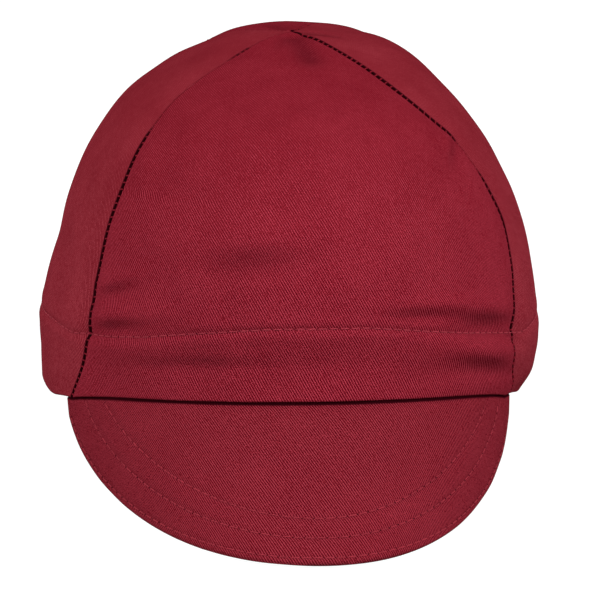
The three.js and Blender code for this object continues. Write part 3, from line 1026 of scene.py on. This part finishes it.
# Metres
BUMP_DEPTH = 0.00012
TWIST_DEPTH = 0.00005
CRISP_BELOW = 0.055  # over the floor: further up the cloth looks smoother
SMOOTH_ABOVE = 0.122
CONTRAST_AT_THE_TOP = 0.25  # share of the contrast of the twill that is left up there
CLEAR_TWILL = 1.6  # contrast of the twill at the front and the back, and at the sides and on the band
FAINT_TWILL = 0.8
THREAD_SHADES = (0.6, 1.35)  # a thread's darkest and palest red as shares of its own


def twill_weave(n, where, fuzz):
    """The cloth's height between its wales and on them: diagonal lines of short yarn floats, with fuzz."""
    place = n.add("ShaderNodeUVMap", uv_map="cloth").outputs[0]
    split = n.add("ShaderNodeSeparateXYZ", {0: place})
    u, v = split.outputs[0], split.outputs[1]
    cosine, sine = math.cos(math.radians(TWILL_SLOPE)), math.sin(math.radians(TWILL_SLOPE))
    over = n.math("ADD", n.scaled(u, sine), n.scaled(v, cosine))
    along = n.math("SUBTRACT", n.scaled(u, cosine), n.scaled(v, sine))
    drift = n.scaled(n.noise(where, DRIFT_SCALE, Detail=2.0), TWILL_DRIFT)
    phase = n.math("ADD", n.math("DIVIDE", over, TWILL_PITCH), drift)
    # A wale runs from one trough of its wave to the next
    wale_number = n.math("FLOOR", n.math("ADD", phase, 0.25))
    crest = n.math("POWER", n.scaled(n.wave(phase), 0.5, 0.5), WALE_SHARPNESS)
    shift, run = n.scaled(wale_number, FLOAT_SHIFT), n.math("DIVIDE", along, FLOAT_LENGTH)
    swell = n.noise(n.add("ShaderNodeCombineXYZ", {0: shift, 1: run}).outputs[0], 1.0, Detail=1.0)
    wale = n.math("MULTIPLY", n.scaled(crest, *CREST_LEVEL), n.scaled(swell, *SWELL_LEVEL))
    yarn_phase = n.math("ADD", n.math("DIVIDE", along, YARN_PITCH), n.scaled(wale_number, YARN_SHIFT))
    lines = n.math("ADD", n.scaled(wale, WALE_SHARE), n.scaled(n.wave(yarn_phase), YARN_SHARE))
    return n.math("ADD", lines, n.scaled(fuzz, FUZZ_SHARE, -0.5 * FUZZ_SHARE))


def twill_material(name, contrast, tint):
    """Cotton twill with slight mottling, its wales partly painted highlight and shade. It looks smoother
    further up, and painted shade darkens it in seams, creases and folds, at the hem and under the crown's
    edge.
    """
    n = Nodes(name)
    where = n.add("ShaderNodeTexCoord").outputs["Object"]
    fuzz = n.noise(where, FUZZ_SCALE, Detail=2.0)
    weave = twill_weave(n, where, fuzz)
    height = n.add("ShaderNodeSeparateXYZ", {0: where}).outputs[2]
    at_top = CONTRAST_AT_THE_TOP * contrast
    contrast_by_height = n.add("ShaderNodeMapRange", {0: height, 1: CRISP_BELOW, 2: SMOOTH_ABOVE, 3: contrast, 4: at_top})
    crisp = n.math("MULTIPLY", weave, contrast_by_height.outputs[0])
    mottle = n.noise(where, MOTTLE_SCALE, Detail=4.0, Roughness=0.65)
    patches = n.scaled(mottle, MOTTLE_SHARE, 0.5 - 0.5 * MOTTLE_SHARE)
    # the wales' dark troughs and pale crests are partly painted shade and painted highlight
    shades = n.add("ShaderNodeValToRGB", {"Fac": n.math("ADD", crisp, patches, clamp=True)})
    shades.color_ramp.elements.new(0.5)
    for element, colour in zip(shades.color_ramp.elements, (DARK_RED, CLOTH_RED, PALE_RED)):
        element.color = [share * c for share, c in zip(tint, colour)] + [1]
    # painted shade: the shade attribute mixes the cloth towards a near-black red
    deep = n.add("ShaderNodeAttribute", attribute_name="shade").outputs["Fac"]
    reds = {0: deep, 6: shades.outputs[0], 7: (*PAINTED_SHADE_RED, 1)}
    shaded = n.add("ShaderNodeMix", reds, data_type="RGBA").outputs[2]
    bump = n.add("ShaderNodeBump", {"Height": weave, "Strength": 0.35, "Distance": BUMP_DEPTH})
    n.set_shader(Base_Color=shaded, Roughness=n.scaled(fuzz, 0.2, 0.75), Normal=bump.outputs[0])
    n.set_shader(Specular_IOR_Level=0.0)
    return n.material


def two_shades(n, where, scale, dark, pale, **more):
    """A colour that changes irregularly between two reds."""
    shades = n.add("ShaderNodeValToRGB", {"Fac": n.noise(where, scale, **more)})
    for element, colour in zip(shades.color_ramp.elements, (dark, pale)):
        element.color = (*colour, 1)
    return shades.outputs[0]


def thread_material(name, colour):
    """Spun thread, with a fine twist and slight changes of shade."""
    n = Nodes(name)
    where = n.add("ShaderNodeTexCoord").outputs["Object"]
    dark, pale = ([share * c for c in colour] for share in THREAD_SHADES)
    reds = two_shades(n, where, THREAD_SCALE, dark, pale, Detail=2.0)
    twist = n.add("ShaderNodeTexWave", {"Vector": where, "Scale": TWIST_SCALE, "Distortion": 2.0})
    bump = n.add("ShaderNodeBump", {"Height": twist.outputs[1], "Strength": 0.3, "Distance": TWIST_DEPTH})
    n.set_shader(Base_Color=reds, Normal=bump.outputs[0], Roughness=0.8, Specular_IOR_Level=0.03)
    return n.material


def hole_material():
    """The shadow inside a needle hole."""
    n = Nodes("needle_hole_shadow")
    where = n.add("ShaderNodeTexCoord").outputs["Object"]
    reds = two_shades(n, where, HOLE_SCALE, *HOLE_SHADOW_REDS)
    n.set_shader(Base_Color=reds, Roughness=0.95, Specular_IOR_Level=0.0)
    return n.material


def floor_material():
    n = Nodes("pale_floor")
    n.set_shader(Base_Color=(0.15, 0.15, 0.15, 1), Roughness=0.9, Specular_IOR_Level=0.1)
    n.set_shader(Emission_Color=(1, 1, 1, 1), Emission_Strength=FLOOR_GLOW)
    return n.material


def make_floor():
    """A pale floor that glows, so that it looks white, but sheds no light on the cap."""
    half = FLOOR_HALF
    corners = [(-half, -half, 0), (half, -half, 0), (half, half, 0), (-half, half, 0)]
    mesh = bpy.data.meshes.new("floor")
    mesh.from_pydata(corners, [], [(0, 1, 2, 3)])
    mesh.materials.append(floor_material())
    floor = bpy.data.objects.new("floor", mesh)
    floor.visible_diffuse = False
    bpy.context.scene.collection.objects.link(floor)


def direction(azimuth, elevation):
    """Away from the cap. The azimuth runs from its front towards the wearer's left."""
    across, above = math.radians(azimuth), math.radians(elevation)
    return Vector((math.sin(across) * math.cos(above), -math.cos(across) * math.cos(above), math.sin(above)))


def make_camera():
    """The camera looks at the crown's middle from the photograph's angle, with a slight roll."""
    back = direction(CAMERA_AZIMUTH, CAMERA_ELEVATION)
    turn = (-back).to_track_quat("-Z", "Y").to_matrix() @ Matrix.Rotation(math.radians(CAMERA_ROLL), 3, "Z")
    place = Vector(CAMERA_AIM) + back * CAMERA_DISTANCE + turn.col[0] * CAMERA_ASIDE
    data = bpy.data.cameras.new("camera")
    data.lens = CAMERA_LENS
    data.sensor_width = CAMERA_SENSOR
    data.clip_end = CAMERA_SEES
    camera = bpy.data.objects.new("camera", data)
    camera.matrix_world = Matrix.Translation(place * MM) @ turn.to_4x4()
    bpy.context.scene.collection.objects.link(camera)
    bpy.context.scene.camera = camera


def make_light(name, azimuth, elevation, power):
    """A soft square light that faces the cap."""
    data = bpy.data.lights.new(name, "AREA")
    data.size = LIGHT_SIZE
    data.energy = power
    light = bpy.data.objects.new(name, data)
    light.location = direction(azimuth, elevation) * LIGHT_DISTANCE
    light.rotation_euler = (Vector(LIGHT_AIM) - light.location).to_track_quat("-Z", "Y").to_euler()
    bpy.context.scene.collection.objects.link(light)


def make_world():
    """White light from all round, weaker below the horizon."""
    world = bpy.data.worlds.new("studio")
    world.use_nodes = True
    tree = world.node_tree
    background = tree.nodes["Background"]
    background.inputs["Color"].default_value = (1, 1, 1, 1)
    place = tree.nodes.new("ShaderNodeTexCoord")
    split = tree.nodes.new("ShaderNodeSeparateXYZ")
    spread = tree.nodes.new("ShaderNodeMapRange")
    for socket, value in enumerate((*HORIZON, *WORLD_LIGHT), start=1):
        spread.inputs[socket].default_value = value
    tree.links.new(place.outputs["Generated"], split.inputs[0])
    tree.links.new(split.outputs[2], spread.inputs[0])
    tree.links.new(spread.outputs[0], background.inputs["Strength"])
    bpy.context.scene.world = world


def declare(cut):
    """Hides the part of the solid model that a cloth stands for."""
    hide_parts(cut.node)


make_camera()
make_floor()
make_world()
for light in LIGHTS:
    make_light(*light)
bpy.context.scene.view_settings.view_transform = "Standard"

crown_cloth = twill_material("crown_twill", CLEAR_TWILL, CROWN_TINT)
# the side panels' twill, paler with painted sheen
side_cloth = twill_material("side_twill_painted_sheen", FAINT_TWILL, SIDE_SHEEN_TINT)
peak_cloth = twill_material("peak_twill", CLEAR_TWILL, PEAK_TINT)
band_cloth = twill_material("band_twill", FAINT_TWILL, CROWN_TINT)
thread = thread_material("red_thread", THREAD_RED)
hem_thread = thread_material("hem_thread", HEM_THREAD_RED)
peak_thread = thread_material("peak_thread", PEAK_THREAD_RED)
hole = hole_material()

front = make_panel(Panel("front_cloth", "right", "left", 0), crown_cloth)
left = make_panel(Panel("left_cloth", "left", "back_left", 90), side_cloth)
right = make_panel(Panel("right_cloth", "back_right", "right", -90), side_cloth)
back = make_panel(Panel("back_cloth", "back_left", "back_right", 180), crown_cloth)
band = make_sweatband(band_cloth)
peak_top = make_peak_cover("peak_top_cloth", True, peak_cloth)
peak_under = make_peak_cover("peak_under_cloth", False, peak_cloth)

for piece, cut in zip((front, left, right, back, band, peak_top, peak_under), CUTS):
    declare(cut)

make_hem_threads(hem_thread, hole)
make_seam_threads(thread)
make_peak_threads(peak_thread, hole)
